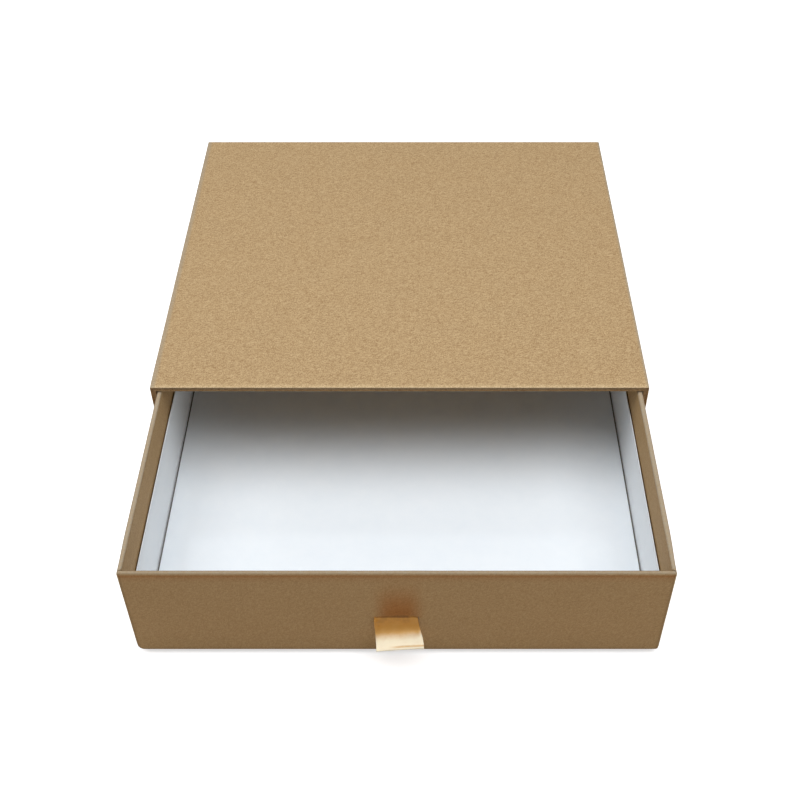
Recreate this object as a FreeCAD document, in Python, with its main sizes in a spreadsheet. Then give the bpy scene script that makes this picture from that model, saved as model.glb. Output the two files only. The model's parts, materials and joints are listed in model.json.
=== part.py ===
import FreeCAD, Part
import math
import os
import re
import Sketcher

# A rigid gift box: a flat sleeve open at one end, and a tray that slides in it like a drawer.
# Millimetres, +Z up. The origin is the centre of the sleeve's underside, and the mouth faces -Y.
# The tray is drawn pulled half out, with its ribbon pull standing a little off the front wall.

doc = FreeCAD.newDocument("SlidingDrawerBox")

# Driving sizes: name, value, what it is

drivingSizes = [
    ("sleeve_width", 220, "outside, along X"),
    ("sleeve_depth", 200, "outside, along Y"),
    ("sleeve_height", 57, "outside, along Z"),
    ("sleeve_board", 2, "greyboard of the sleeve"),
    ("drawer_board", 1.5, "greyboard of the tray"),
    ("wrap_paper", 0.2, "kraft paper with its glue"),
    ("lining_paper", 0.2, "lining paper with its glue"),
    ("tape_paper", 0.1, "paper tape over the board edges"),
    ("tape_leg", 12, "tape on each side of an edge"),
    ("mouth_turn_in", 15, "paper turned in at the sleeve's mouth"),
    ("base_flap", 15, "wrap turned under the sleeve's base"),
    ("rim_turn_in", 18, "kraft band inside the tray's rim"),
    ("side_clearance", 0.6, "tray to sleeve, each side"),
    ("top_clearance", 0.6, "tray to sleeve, above the rim"),
    ("under_clearance", 0.3, "tray to sleeve, below the tray"),
    ("back_clearance", 1, "tray to sleeve's back when shut"),
    ("rest_pull", 99, "how far the tray is drawn out"),
    ("card_thickness", 1, "white card on the tray's floor"),
    ("card_gap", 0.8, "card to the lined walls"),
    ("ribbon_width", 19, "ribbon outside the slit"),
    ("ribbon_neck", 18, "ribbon where it is squeezed into the slit"),
    ("ribbon_thickness", 0.35, "one layer of ribbon"),
    ("ribbon_layer_gap", 0.1, "between the two layers of the pull"),
    ("slit_below_rim", 28, "rim to the middle of the slit"),
    ("slit_clearance", 0.2, "slit to ribbon, all round"),
    ("tail_margin", 7.2, "tray floor to the lower glued end"),
    ("pull_gap", 0.3, "front wall to the root of the pull"),
    ("pull_root_length", 2, "straight part next to the slit"),
    ("pull_bend_radius", 6, "bend between root and tip"),
    ("pull_tip_length", 5, "straight part at the tip"),
    ("pull_root_drop", 70, "degrees below level at the root"),
    ("pull_tip_drop", 15, "degrees below level at the tip"),
    ("cut_overrun", 1, "how far a cut runs past what it cuts"),
]

sheet = doc.addObject("Spreadsheet::Sheet", "Sizes")
for row, (name, value, note) in enumerate(drivingSizes, start=1):
    sheet.set(f"A{row}", name)
    sheet.set(f"B{row}", str(value))
    sheet.set(f"C{row}", note)
    sheet.setAlias(f"B{row}", name)
doc.recompute()

# Places that follow from the sizes, each worked out once. A half is the distance from the middle
# plane along X. A board's faces are named for the board, and the lined faces for the space inside.

derivedPlaces = [
    ("sleeve_half", "sleeve_width / 2"),
    ("sleeve_board_half", "sleeve_half - wrap_paper - tape_paper"),
    ("sleeve_inner_half", "sleeve_board_half - sleeve_board"),
    ("cavity_half", "sleeve_inner_half - lining_paper"),
    ("mouth", "-sleeve_depth / 2"),
    ("sleeve_board_mouth", "mouth + wrap_paper"),
    ("turn_in_end", "mouth + mouth_turn_in"),
    ("sleeve_back", "sleeve_depth / 2"),
    ("sleeve_board_back", "sleeve_back - wrap_paper - tape_paper"),
    ("sleeve_inner_back", "sleeve_board_back - sleeve_board"),
    ("cavity_back", "sleeve_inner_back - lining_paper"),
    ("flap_top", "2 * wrap_paper"),
    ("sleeve_board_low", "flap_top + tape_paper"),
    ("sleeve_inner_low", "sleeve_board_low + sleeve_board"),
    ("cavity_low", "sleeve_inner_low + lining_paper"),
    ("sleeve_board_high", "sleeve_height - wrap_paper - tape_paper"),
    ("sleeve_inner_high", "sleeve_board_high - sleeve_board"),
    ("cavity_high", "sleeve_inner_high - lining_paper"),
    ("edge_round", "2 * wrap_paper"),
    ("drawer_half", "cavity_half - side_clearance"),
    ("drawer_board_half", "drawer_half - wrap_paper - tape_paper"),
    ("drawer_inner_half", "drawer_board_half - drawer_board"),
    ("tray_half", "drawer_inner_half - lining_paper"),
    ("drawer_front", "mouth - rest_pull"),
    ("drawer_board_front", "drawer_front + wrap_paper + tape_paper"),
    ("drawer_inner_front", "drawer_board_front + drawer_board"),
    ("tray_front", "drawer_inner_front + lining_paper"),
    ("drawer_back", "cavity_back - back_clearance - rest_pull"),
    ("drawer_board_back", "drawer_back - wrap_paper - tape_paper"),
    ("drawer_inner_back", "drawer_board_back - drawer_board"),
    ("tray_back", "drawer_inner_back - lining_paper"),
    ("drawer_low", "cavity_low + under_clearance"),
    ("drawer_base_low", "drawer_low + wrap_paper"),
    ("tray_low", "drawer_base_low + drawer_board"),
    ("rim", "cavity_high - top_clearance"),
    ("drawer_board_rim", "rim - wrap_paper"),
    ("band_low", "rim - rim_turn_in"),
    ("slit_middle", "rim - slit_below_rim"),
    ("slit_half_height", "ribbon_thickness + slit_clearance"),
    ("slit_half_length", "ribbon_neck / 2 + slit_clearance"),
    ("recess_front", "drawer_inner_front - ribbon_thickness"),
    ("tail_length", "slit_middle - tray_low - tail_margin"),
    ("pull_half_thickness", "ribbon_thickness + ribbon_layer_gap / 2"),
    ("pull_root", "drawer_front - pull_gap - pull_half_thickness"),
]

owner = {name: "Sizes" for name, value, note in drivingSizes}
owner |= {name: "Places" for name, text in derivedPlaces}


def formula(text):
    # plain names become references to the sheet or to the places
    return re.sub(r"[a-z_]+", lambda word: f"{owner[word[0]]}.{word[0]}", text)


places = doc.addObject("App::VarSet", "Places")
for name, text in derivedPlaces:
    places.addProperty("App::PropertyFloat", name, "Places")
    places.setExpression(name, formula(text))
doc.recompute()


def bothSides(half):
    return (f"-({half})", half)


# A board or sheet of paper: a rectangle drawn on one of the body's own planes and padded

panelPlanes = {"x": "YZ_Plane", "y": "XZ_Plane", "z": "XY_Plane"}


def originPlane(body, role):
    return next(plane for plane in body.Origin.OriginFeatures if plane.Role == role)


def panel(label, thin, x, y, z):
    body = doc.addObject("PartDesign::Body", label)
    sketch = body.newObject("Sketcher::SketchObject", label + "_outline")
    sketch.AttachmentSupport = (originPlane(body, panelPlanes[thin]), "")
    sketch.MapMode = "FlatFace"
    across, up, through = {"x": (y, z, x), "y": (x, z, y), "z": (x, y, z)}[thin]
    # the plane across Y faces -Y, so its pad starts at the high side
    start = f"-({through[1]})" if thin == "y" else through[0]
    sketch.setExpression("AttachmentOffset.Base.x", formula(across[0]))
    sketch.setExpression("AttachmentOffset.Base.y", formula(up[0]))
    sketch.setExpression("AttachmentOffset.Base.z", formula(start))
    corners = [FreeCAD.Vector(*corner) for corner in ((0, 0), (1, 0), (1, 1), (0, 1))]
    for i, corner in enumerate(corners):
        sketch.addGeometry(Part.LineSegment(corner, corners[(i + 1) % 4]))
    for i in range(4):
        sketch.addConstraint(Sketcher.Constraint("Coincident", i, 2, (i + 1) % 4, 1))
    for i, direction in enumerate(("Horizontal", "Vertical", "Horizontal", "Vertical")):
        sketch.addConstraint(Sketcher.Constraint(direction, i))
    sketch.addConstraint(Sketcher.Constraint("Coincident", 0, 1, -1, 1))
    width = sketch.addConstraint(Sketcher.Constraint("Distance", 0, 1))
    height = sketch.addConstraint(Sketcher.Constraint("Distance", 1, 1))
    sketch.setExpression(f"Constraints[{width}]", formula(f"{across[1]} - ({across[0]})"))
    sketch.setExpression(f"Constraints[{height}]", formula(f"{up[1]} - ({up[0]})"))
    pad = body.newObject("PartDesign::Pad", label + "_pad")
    pad.Profile = sketch
    pad.setExpression("Length", formula(f"{through[1]} - ({through[0]})"))
    return body


# A block added to a body, or cut from it, between a low and a high place on each axis


def setBlock(block, x, y, z):
    for axis, size, (low, high) in (("x", "Length", x), ("y", "Width", y), ("z", "Height", z)):
        block.setExpression(size, formula(f"{high} - ({low})"))
        block.setExpression(f"Placement.Base.{axis}", formula(low))
    return block


def add(body, name, x, y, z):
    return setBlock(body.newObject("PartDesign::AdditiveBox", name), x, y, z)


def cut(body, name, x, y, z):
    return setBlock(body.newObject("PartDesign::SubtractiveBox", name), x, y, z)


def box(name, x, y, z):
    return setBlock(doc.addObject("Part::Box", name), x, y, z)


def roundEdges(body, name, base, chosen):
    # rounds those edges of the base feature whose bounding boxes the test accepts
    doc.recompute()
    edges = enumerate(base.Shape.Edges, start=1)
    fillet = body.newObject("PartDesign::Fillet", name)
    fillet.Base = (base, [f"Edge{i}" for i, edge in edges if chosen(edge.BoundBox)])
    fillet.setExpression("Radius", formula("edge_round"))
    return fillet


def everyEdge(b):
    return True


# Sleeve: five boards, butted

sleeveBoardX = bothSides("sleeve_board_half")
sleeveBoardY = ("sleeve_board_mouth", "sleeve_board_back")
sleeveInnerZ = ("sleeve_inner_low", "sleeve_inner_high")
sleeveWallY = ("sleeve_board_mouth", "sleeve_inner_back")


def sleeveBoards():
    top = ("sleeve_inner_high", "sleeve_board_high")
    base = ("sleeve_board_low", "sleeve_inner_low")
    left = ("-sleeve_board_half", "-sleeve_inner_half")
    right = ("sleeve_inner_half", "sleeve_board_half")
    back = ("sleeve_inner_back", "sleeve_board_back")
    return [
        panel("sleeve_top_board", "z", sleeveBoardX, sleeveBoardY, top),
        panel("sleeve_base_board", "z", sleeveBoardX, sleeveBoardY, base),
        panel("sleeve_left_board", "x", left, sleeveWallY, sleeveInnerZ),
        panel("sleeve_right_board", "x", right, sleeveWallY, sleeveInnerZ),
        panel("sleeve_back_board", "y", sleeveBoardX, back, sleeveInnerZ),
    ]


# Sleeve: kraft wrap over the top, sides and back, turned in at the mouth and turned under the base


def sleeveWrap():
    body = doc.addObject("PartDesign::Body", "sleeve_outer_wrap")
    outside = add(
        body, "wrap_outside",
        bothSides("sleeve_half"), ("mouth", "sleeve_back"), ("wrap_paper", "sleeve_height"),
    )
    roundEdges(body, "wrap_rounding", outside, everyEdge)
    cut(
        body, "wrap_board_space",
        bothSides("sleeve_half - wrap_paper"),
        ("mouth + wrap_paper", "sleeve_back - wrap_paper"),
        ("flap_top", "sleeve_height - wrap_paper"),
    )
    add(
        body, "wrap_turn_in",
        bothSides("sleeve_inner_half"), ("mouth + wrap_paper", "turn_in_end"), sleeveInnerZ,
    )
    cut(
        body, "wrap_mouth",
        bothSides("cavity_half"),
        ("mouth - cut_overrun", "turn_in_end + cut_overrun"),
        ("-cut_overrun", "cavity_high"),
    )
    cut(
        body, "wrap_base_window",
        bothSides("sleeve_half - base_flap"),
        ("mouth - cut_overrun", "sleeve_back - base_flap"),
        ("-cut_overrun", "sleeve_board_low"),
    )
    return body


# Sleeve: kraft sheet under the base, over the wrap's flaps, with its own turn-in at the mouth


def sleeveBaseSheet():
    body = doc.addObject("PartDesign::Body", "sleeve_base_sheet")
    sheetX = bothSides("cavity_half")
    add(body, "sheet_turn_in", sheetX, ("mouth", "turn_in_end"), ("0", "cavity_low"))
    cut(
        body, "sheet_board_space",
        sheetX, ("mouth + wrap_paper", "turn_in_end + cut_overrun"), ("wrap_paper", "sleeve_inner_low"),
    )
    back = "sleeve_back - (sleeve_half - cavity_half)"
    add(body, "sheet_under", sheetX, ("mouth", back), ("0", "wrap_paper"))
    return body


# Sleeve: paper tapes over the board edges. A tape fills the layer between the boards and the wrap.

tapeX = bothSides("sleeve_half - wrap_paper")
tapeZ = ("flap_top", "sleeve_height - wrap_paper")
tapeLegX = bothSides("sleeve_board_half - tape_leg")
tapeLegZ = ("sleeve_board_low + tape_leg", "sleeve_board_high - tape_leg")
pastTapeX = bothSides("sleeve_half + cut_overrun")
pastTapeZ = ("-cut_overrun", "sleeve_height + cut_overrun")


def difference(label, outer, inners):
    node = doc.addObject("Part::Cut", label)
    node.Base = outer
    if len(inners) == 1:
        node.Tool = inners[0]
        return node
    tool = doc.addObject("Part::MultiFuse", label + "_cuts")
    tool.Shapes = inners
    node.Tool = tool
    return node


def sleeveTapes():
    sideEnd = "sleeve_board_back - tape_leg"
    sideY = ("sleeve_board_mouth", sideEnd)
    pastSideY = ("mouth - cut_overrun", "sleeve_back + cut_overrun")
    backBoardY = (f"{sideEnd} - cut_overrun", "sleeve_board_back")
    boardZ = ("sleeve_board_low", "sleeve_board_high")
    edgeTapes = difference(
        "sleeve_edge_tapes",
        box("edge_tapes_block", tapeX, sideY, tapeZ),
        [
            box("edge_tapes_boards", sleeveBoardX, pastSideY, boardZ),
            box("edge_tapes_middle", tapeLegX, pastSideY, pastTapeZ),
            box("edge_tapes_sides", pastTapeX, pastSideY, tapeLegZ),
        ],
    )
    backTapes = difference(
        "sleeve_back_tapes",
        box("back_tapes_block", tapeX, (sideEnd, "sleeve_back - wrap_paper"), tapeZ),
        [
            box("back_tapes_boards", sleeveBoardX, backBoardY, boardZ),
            box("back_tapes_window", tapeLegX, pastSideY, tapeLegZ),
        ],
    )
    return [edgeTapes, backTapes]


# Sleeve: kraft linings


def sleeveLinings():
    liningY = ("turn_in_end", "sleeve_inner_back")
    pastY = ("turn_in_end - cut_overrun", "sleeve_inner_back + cut_overrun")
    cavityX = bothSides("cavity_half")
    cavityZ = ("cavity_low", "cavity_high")
    walls = difference(
        "sleeve_wall_lining",
        box("wall_lining_outside", bothSides("sleeve_inner_half"), liningY, sleeveInnerZ),
        [box("wall_lining_inside", cavityX, pastY, cavityZ)],
    )
    back = panel("sleeve_back_lining", "y", cavityX, ("cavity_back", "sleeve_inner_back"), cavityZ)
    return [walls, back]


# Drawer: base board with four wall boards standing on it. The front board has the ribbon's slit,
# and a shallow recess inside that takes the glued ribbon ends.

drawerBoardX = bothSides("drawer_board_half")
drawerBoardY = ("drawer_board_front", "drawer_board_back")
drawerInnerX = bothSides("drawer_inner_half")
drawerInnerY = ("drawer_inner_front", "drawer_inner_back")
drawerWallZ = ("tray_low", "drawer_board_rim")
slitX = bothSides("slit_half_length")
slitZ = ("slit_middle - slit_half_height", "slit_middle + slit_half_height")
tailZ = ("slit_middle - tail_length", "slit_middle + tail_length")


def drawerBoards():
    left = ("-drawer_board_half", "-drawer_inner_half")
    right = ("drawer_inner_half", "drawer_board_half")
    frontY = ("drawer_board_front", "drawer_inner_front")
    backY = ("drawer_inner_back", "drawer_board_back")
    baseZ = ("drawer_base_low", "tray_low")
    front = panel("drawer_front_board", "y", drawerBoardX, frontY, drawerWallZ)
    pastInside = "drawer_inner_front + cut_overrun"
    cut(front, "front_slit", slitX, ("drawer_front - cut_overrun", pastInside), slitZ)
    cut(front, "front_recess", slitX, ("recess_front", pastInside), tailZ)
    return [
        panel("drawer_base_board", "z", drawerBoardX, drawerBoardY, baseZ),
        front,
        panel("drawer_back_board", "y", drawerBoardX, backY, drawerWallZ),
        panel("drawer_left_board", "x", left, drawerInnerY, drawerWallZ),
        panel("drawer_right_board", "x", right, drawerInnerY, drawerWallZ),
    ]


# Drawer: kraft wrap under the base, up the walls, over the rim and down inside as a band


def drawerWrap():
    body = doc.addObject("PartDesign::Body", "drawer_outer_wrap")
    outside = add(
        body, "drawer_wrap_outside",
        bothSides("drawer_half"), ("drawer_front", "drawer_back"), ("drawer_low", "rim"),
    )
    roundEdges(body, "drawer_wrap_rounding", outside, everyEdge)
    cut(
        body, "drawer_wrap_board_space",
        bothSides("drawer_half - wrap_paper"),
        ("drawer_front + wrap_paper", "drawer_back - wrap_paper"),
        ("drawer_base_low", "drawer_board_rim"),
    )
    add(body, "drawer_wrap_turn_in", drawerInnerX, drawerInnerY, ("band_low", "drawer_board_rim"))
    opening = cut(
        body, "drawer_wrap_opening",
        bothSides("tray_half"),
        ("tray_front", "tray_back"),
        ("band_low - cut_overrun", "rim + cut_overrun"),
    )
    near = sheet.lining_paper / 2

    def onInnerRim(b):
        level = b.ZMin > places.rim - near
        insideX = max(-b.XMin, b.XMax) < places.tray_half + near
        insideY = b.YMin > places.tray_front - near and b.YMax < places.tray_back + near
        return level and insideX and insideY

    roundEdges(body, "drawer_rim_rounding", opening, onInnerRim)
    cut(body, "drawer_wrap_slit", slitX, ("drawer_front - cut_overrun", "drawer_board_front"), slitZ)
    return body


# Drawer: paper stays round the four upright corners, between the boards and the wrap


def drawerStays():
    stayZ = ("tray_low", "drawer_board_rim")
    pastX = bothSides("drawer_half + cut_overrun")
    pastY = ("drawer_front - cut_overrun", "drawer_back + cut_overrun")
    pastZ = ("drawer_low - cut_overrun", "rim + cut_overrun")
    return difference(
        "drawer_corner_stays",
        box(
            "stays_block",
            bothSides("drawer_half - wrap_paper"),
            ("drawer_front + wrap_paper", "drawer_back - wrap_paper"),
            stayZ,
        ),
        [
            box("stays_boards", drawerBoardX, drawerBoardY, pastZ),
            box("stays_middle", bothSides("drawer_board_half - tape_leg"), pastY, pastZ),
            box(
                "stays_sides",
                pastX,
                ("drawer_board_front + tape_leg", "drawer_board_back - tape_leg"),
                pastZ,
            ),
        ],
    )


# Drawer: white linings below the kraft band, and a loose card on the floor


def drawerLinings():
    liningZ = ("tray_low", "band_low")
    left = ("-drawer_inner_half", "-tray_half")
    right = ("tray_half", "drawer_inner_half")
    trayY = ("tray_front", "tray_back")
    return [
        panel("drawer_front_lining", "y", drawerInnerX, ("drawer_inner_front", "tray_front"), liningZ),
        panel("drawer_back_lining", "y", drawerInnerX, ("tray_back", "drawer_inner_back"), liningZ),
        panel("drawer_left_lining", "x", left, trayY, liningZ),
        panel("drawer_right_lining", "x", right, trayY, liningZ),
    ]


def floorCard():
    return panel(
        "drawer_floor_card", "z",
        bothSides("tray_half - card_gap"),
        ("tray_front + card_gap", "tray_back - card_gap"),
        ("tray_low", "tray_low + card_thickness"),
    )


# Ribbon: both layers pass through the slit, and one end is glued upwards, the other downwards


def ribbonTails():
    body = doc.addObject("PartDesign::Body", "ribbon_tails")
    neckX = bothSides("ribbon_neck / 2")
    bothLayers = ("slit_middle - ribbon_thickness", "slit_middle + ribbon_thickness")
    add(body, "ribbon_through", neckX, ("drawer_front", "drawer_inner_front"), bothLayers)
    add(body, "ribbon_ends", neckX, ("recess_front", "drawer_inner_front"), tailZ)
    return body


# Ribbon: the pull is the doubled loop outside, drawn in side view: a round root beside the slit,
# a steep straight, a bend outwards and a tip that lies nearly level


def ribbonPull():
    body = doc.addObject("PartDesign::Body", "ribbon_pull")
    sketch = body.newObject("Sketcher::SketchObject", "pull_side_view")
    sketch.AttachmentSupport = (originPlane(body, "YZ_Plane"), "")
    sketch.MapMode = "FlatFace"
    sketch.setExpression("AttachmentOffset.Base.x", formula("pull_root"))
    sketch.setExpression("AttachmentOffset.Base.y", formula("slit_middle"))

    half = places.pull_half_thickness
    bend = sheet.pull_bend_radius
    drops = [math.radians(sheet.pull_root_drop), math.radians(sheet.pull_tip_drop)]
    along = [FreeCAD.Vector(-math.cos(drop), -math.sin(drop)) for drop in drops]
    above = [FreeCAD.Vector(-math.sin(drop), math.cos(drop)) for drop in drops]
    root = FreeCAD.Vector()
    bendStart = root + along[0] * sheet.pull_root_length
    centre = bendStart + above[0] * bend
    bendEnd = centre - above[1] * bend
    tip = bendEnd + along[1] * sheet.pull_tip_length

    def arc(middle, radius, first, last):
        angles = [math.atan2(point.y - middle.y, point.x - middle.x) for point in (first, last)]
        circle = Part.Circle(middle, FreeCAD.Vector(0, 0, 1), radius)
        return Part.ArcOfCircle(circle, *angles)

    topStart = root + above[0] * half
    topBend = [bendStart + above[0] * half, bendEnd + above[1] * half]
    topEnd = tip + above[1] * half
    lowEnd = tip - above[1] * half
    lowBend = [bendEnd - above[1] * half, bendStart - above[0] * half]
    lowStart = root - above[0] * half
    # every arc runs anticlockwise, so its first point may be the outline's later one
    sketch.addGeometry(Part.LineSegment(topStart, topBend[0]))
    sketch.addGeometry(arc(centre, bend - half, topBend[1], topBend[0]))
    sketch.addGeometry(Part.LineSegment(topBend[1], topEnd))
    sketch.addGeometry(arc(tip, half, topEnd, lowEnd))
    sketch.addGeometry(Part.LineSegment(lowEnd, lowBend[0]))
    sketch.addGeometry(arc(centre, bend + half, lowBend[0], lowBend[1]))
    sketch.addGeometry(Part.LineSegment(lowBend[1], lowStart))
    sketch.addGeometry(arc(root, half, lowStart, topStart))
    first, last, middle = 1, 2, 3
    meetings = [
        (0, last, 1, last),
        (1, first, 2, first),
        (2, last, 3, first),
        (3, last, 4, first),
        (4, last, 5, first),
        (5, last, 6, first),
        (6, last, 7, first),
        (7, last, 0, first),
    ]
    for meeting in meetings:
        sketch.addConstraint(Sketcher.Constraint("Tangent", *meeting))
    sketch.addConstraint(Sketcher.Constraint("Coincident", 7, middle, -1, 1))
    sketch.addConstraint(Sketcher.Constraint("Coincident", 1, middle, 5, middle))
    sketch.addConstraint(Sketcher.Constraint("Parallel", 0, 6))
    sketch.addConstraint(Sketcher.Constraint("Parallel", 2, 4))

    def bind(kind, geometry, value, text):
        index = sketch.addConstraint(Sketcher.Constraint(kind, *geometry, value))
        sketch.setExpression(f"Constraints[{index}]", text)

    bind("Radius", (7,), half, formula("pull_half_thickness"))
    bind("Radius", (1,), bend - half, formula("pull_bend_radius - pull_half_thickness"))
    bind("Distance", (0,), sheet.pull_root_length, formula("pull_root_length"))
    bind("Distance", (2,), sheet.pull_tip_length, formula("pull_tip_length"))
    bind("Angle", (0,), drops[0] - math.pi, f"({formula('pull_root_drop')} - 180) * 1 deg")
    bind("Angle", (2,), drops[1] - math.pi, f"({formula('pull_tip_drop')} - 180) * 1 deg")

    pad = body.newObject("PartDesign::Pad", "pull_pad")
    pad.Profile = sketch
    pad.Midplane = True
    pad.setExpression("Length", formula("ribbon_width"))
    return body


nodes = [
    *sleeveBoards(),
    sleeveWrap(),
    sleeveBaseSheet(),
    *sleeveTapes(),
    *sleeveLinings(),
    *drawerBoards(),
    drawerWrap(),
    drawerStays(),
    *drawerLinings(),
    floorCard(),
    ribbonTails(),
    ribbonPull(),
]
doc.recompute()

# Nothing is written unless the whole document came out right

for item in doc.Objects:
    if "Invalid" in item.State or "Error" in item.State:
        raise RuntimeError(f"{item.Label} did not recompute: {item.State}")
for node in nodes:
    if node.Shape.isNull() or not node.Shape.isValid() or node.Shape.Volume <= 0:
        raise RuntimeError(f"{node.Label} has no valid shape")

os.makedirs("parts", exist_ok=True)
for node in nodes:
    node.Shape.exportStep(f"parts/{node.Label}.step")
    print(f"{node.Label}: {len(node.Shape.Solids)} solid, {node.Shape.Volume:.0f} cubic mm")
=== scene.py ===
import json
import math

import bmesh
import bpy
from mathutils import Euler, Matrix, Vector, noise


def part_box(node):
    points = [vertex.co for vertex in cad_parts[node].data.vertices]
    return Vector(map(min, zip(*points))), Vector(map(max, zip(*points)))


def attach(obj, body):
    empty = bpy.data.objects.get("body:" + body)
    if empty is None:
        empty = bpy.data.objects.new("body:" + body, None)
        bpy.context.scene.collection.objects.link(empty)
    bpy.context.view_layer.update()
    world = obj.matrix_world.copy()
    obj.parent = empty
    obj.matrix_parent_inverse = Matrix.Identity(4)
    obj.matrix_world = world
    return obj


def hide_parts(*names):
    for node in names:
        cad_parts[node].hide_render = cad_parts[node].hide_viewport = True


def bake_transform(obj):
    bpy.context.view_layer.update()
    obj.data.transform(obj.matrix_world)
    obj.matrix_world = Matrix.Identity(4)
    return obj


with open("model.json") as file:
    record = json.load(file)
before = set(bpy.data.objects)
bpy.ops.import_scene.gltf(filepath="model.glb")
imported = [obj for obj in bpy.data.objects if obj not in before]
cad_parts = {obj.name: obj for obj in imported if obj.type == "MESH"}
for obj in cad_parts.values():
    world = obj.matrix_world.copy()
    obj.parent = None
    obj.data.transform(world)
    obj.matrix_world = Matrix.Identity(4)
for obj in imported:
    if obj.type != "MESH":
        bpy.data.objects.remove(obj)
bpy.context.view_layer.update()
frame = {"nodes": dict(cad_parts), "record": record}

mm = 0.001  # the scene is in metres, and the box's own sizes below are in millimetres
nodes = frame["nodes"]
print("frame loaded:", len(nodes), "nodes")


cameraSetup = {
    "place": (8.184, -465.435, 408.391),  # mm, from the fit to the box's edges
    "pitchDown": 44.486,                  # degrees below the horizon, looking along +Y
    "lens": 51.917,                       # mm on a 36 mm sensor
    "shift": -0.0227,                     # sideways, in widths of the picture
}

camera = bpy.data.objects.new("camera", bpy.data.cameras.new("camera"))
bpy.context.scene.collection.objects.link(camera)
camera.location = Vector(cameraSetup["place"]) * mm
camera.rotation_euler = Euler((math.radians(90 - cameraSetup["pitchDown"]), 0, 0))
camera.data.sensor_width = 36
camera.data.lens = cameraSetup["lens"]
camera.data.shift_x = cameraSetup["shift"]
camera.data.clip_start = 0.01
bpy.context.scene.camera = camera
bpy.context.scene.view_settings.view_transform = "Standard"


def linear(hexColour):
    values = [int(hexColour[k:k + 2], 16) / 255 for k in (1, 3, 5)]
    return (*[v / 12.92 if v <= 0.04045 else ((v + 0.055) / 1.055) ** 2.4 for v in values], 1.0)


def addNode(tree, kind, settings=None, links=None):
    node = tree.nodes.new("ShaderNode" + kind)
    for name, value in (settings or {}).items():
        if isinstance(name, int) or name in node.inputs:
            node.inputs[name].default_value = value
        else:
            setattr(node, name, value)
    for name, source in (links or {}).items():
        tree.links.new(source, node.inputs[name])
    return node


def remap(tree, value, span, result=(0.0, 1.0)):
    return addNode(tree, "MapRange", {"From Min": span[0], "From Max": span[1], "To Min": result[0],
                                      "To Max": result[1]}, {"Value": value}).outputs[0]


def combine(tree, operation, first, second):
    return addNode(tree, "Math", {"operation": operation}, {0: first, 1: second}).outputs[0]


studio = {
    "ambient": 0.17,            # the room's even light
    "ambientColour": "#E6F0FF",
    "keyPlace": (-30.0, -150.0, 900.0), "keySize": (1500, 800), "keyPower": 10.75,
    "keyAim": (0.0, -60.0, 30.0),
    "tableBounce": "#DDD2C5",   # what the table gives back to the box
    "tableGlow": (0.60, 1.0),   # lifts the table to white in the picture only: near the box, and far off
    "glowFrom": (0.35, 1.2),    # m, where that rise starts and ends
    "tablePaint": 0.97,         # how pale the table is before that rise
    "tableReach": 6.0,          # m, half its width
    "tableTop": -2e-5,          # m, just clear of the box's underside
}


def seenAsBackground(tree):  # 1 for the rays that show the plain white background
    path = addNode(tree, "LightPath")
    first = combine(tree, "MAXIMUM", path.outputs["Is Camera Ray"], path.outputs["Is Glossy Ray"])
    return combine(tree, "MAXIMUM", first, path.outputs["Is Transmission Ray"])


def makeStudio():
    world = bpy.data.worlds.new("studio")
    bpy.context.scene.world = world
    world.use_nodes = True
    tree = world.node_tree
    tree.nodes.clear()
    room = addNode(tree, "Background", {"Color": linear(studio["ambientColour"]),
                                        "Strength": studio["ambient"]})
    white = addNode(tree, "Background", {"Color": (1, 1, 1, 1), "Strength": 1.0})
    mixed = addNode(tree, "MixShader",
                    links={0: seenAsBackground(tree), 1: room.outputs[0], 2: white.outputs[0]})
    addNode(tree, "OutputWorld", links={"Surface": mixed.outputs[0]})

    lamp = bpy.data.lights.new("softbox", "AREA")
    lamp.shape = "RECTANGLE"
    lamp.size, lamp.size_y = [side * mm for side in studio["keySize"]]
    lamp.energy = studio["keyPower"]
    softbox = bpy.data.objects.new("softbox", lamp)
    softbox.location = Vector(studio["keyPlace"]) * mm
    towards = Vector(studio["keyAim"]) * mm - softbox.location
    softbox.rotation_euler = towards.to_track_quat("-Z", "Y").to_euler()
    bpy.context.scene.collection.objects.link(softbox)

    made = bpy.data.materials.new("paintedTableWhite")  # matt, seen as plain white with soft shadows
    made.use_nodes = True
    tree = made.node_tree
    tree.nodes.clear()
    bounce = addNode(tree, "BsdfDiffuse", {"Color": linear(studio["tableBounce"])})
    paint = addNode(tree, "BsdfDiffuse", {"Color": (*[studio["tablePaint"]] * 3, 1)})
    where = addNode(tree, "TexCoord").outputs["Object"]
    away = addNode(tree, "VectorMath", {"operation": "LENGTH"}, {0: where})
    rise = remap(tree, away.outputs["Value"], studio["glowFrom"], studio["tableGlow"])
    glow = addNode(tree, "Emission", {"Color": (1, 1, 1, 1)}, {"Strength": rise})
    seen = addNode(tree, "AddShader", links={0: paint.outputs[0], 1: glow.outputs[0]})
    mixed = addNode(tree, "MixShader",
                    links={0: seenAsBackground(tree), 1: bounce.outputs[0], 2: seen.outputs[0]})
    addNode(tree, "OutputMaterial", links={"Surface": mixed.outputs[0]})
    mesh = bpy.data.meshes.new("table")
    reach, top = studio["tableReach"], studio["tableTop"]
    corners = [(-reach, -reach, top), (reach, -reach, top), (reach, reach, top), (-reach, reach, top)]
    mesh.from_pydata(corners, [], [(0, 1, 2, 3)])
    mesh.materials.append(made)
    table = bpy.data.objects.new("table", mesh)
    bpy.context.scene.collection.objects.link(table)


makeStudio()
print("studio made")


def newMaterial(name):
    made = bpy.data.materials.new(name)
    made.use_nodes = True
    return made, made.node_tree, made.node_tree.nodes["Principled BSDF"]


def dress(shader, settings):  # constants go straight on the shader's own sockets
    for name, value in settings.items():
        shader.inputs[name].default_value = value


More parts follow.
